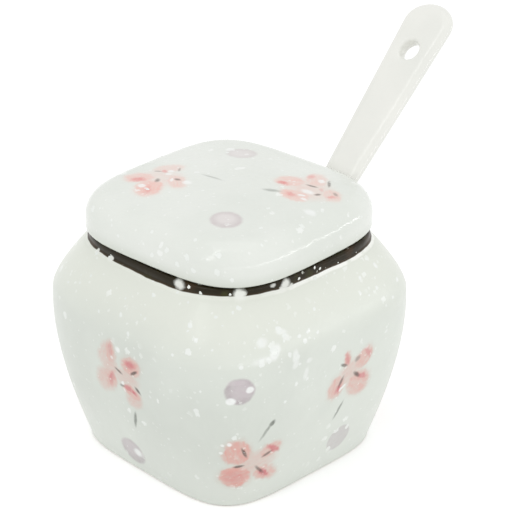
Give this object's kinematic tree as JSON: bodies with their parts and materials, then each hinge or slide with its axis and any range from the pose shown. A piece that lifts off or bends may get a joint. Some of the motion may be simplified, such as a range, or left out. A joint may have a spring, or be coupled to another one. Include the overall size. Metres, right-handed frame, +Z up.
{
  "type": "condiment jar",
  "caption": "Rounded-square glazed ceramic condiment jar with a dark neck band, a lift-off lid notched at its edge and a leaning spoon with a pierced handle.",
  "frame": {"origin": "middle of the jar's flat base, on the surface that it stands on", "axes": "+Z up out of the mouth, X and Y square to the jar's sides, +Y towards the notched side of the lid, over which the spoon leans"},
  "size_m": [0.086, 0.1188, 0.1179],
  "materials": {
    "jar_glaze": "gloss",
    "lid_glaze": "gloss",
    "spoon_glaze": "gloss"
  },
  "bodies": {
    "jar": {"jar": "jar_glaze"},
    "lid": {"lid": "lid_glaze"},
    "spoon": {"spoon": "spoon_glaze"}
  },
  "joints": [
    {"name": "lid_lift", "type": "slide", "parent": "jar", "child": "lid", "axis": [0, 0, 1], "range_m": [0, 0.08]},
    {"name": "spoon_draw", "type": "slide", "parent": "jar", "child": "spoon", "axis": [0, 0.6921, 0.7218], "range_m": [0, 0.03]}
  ]
}
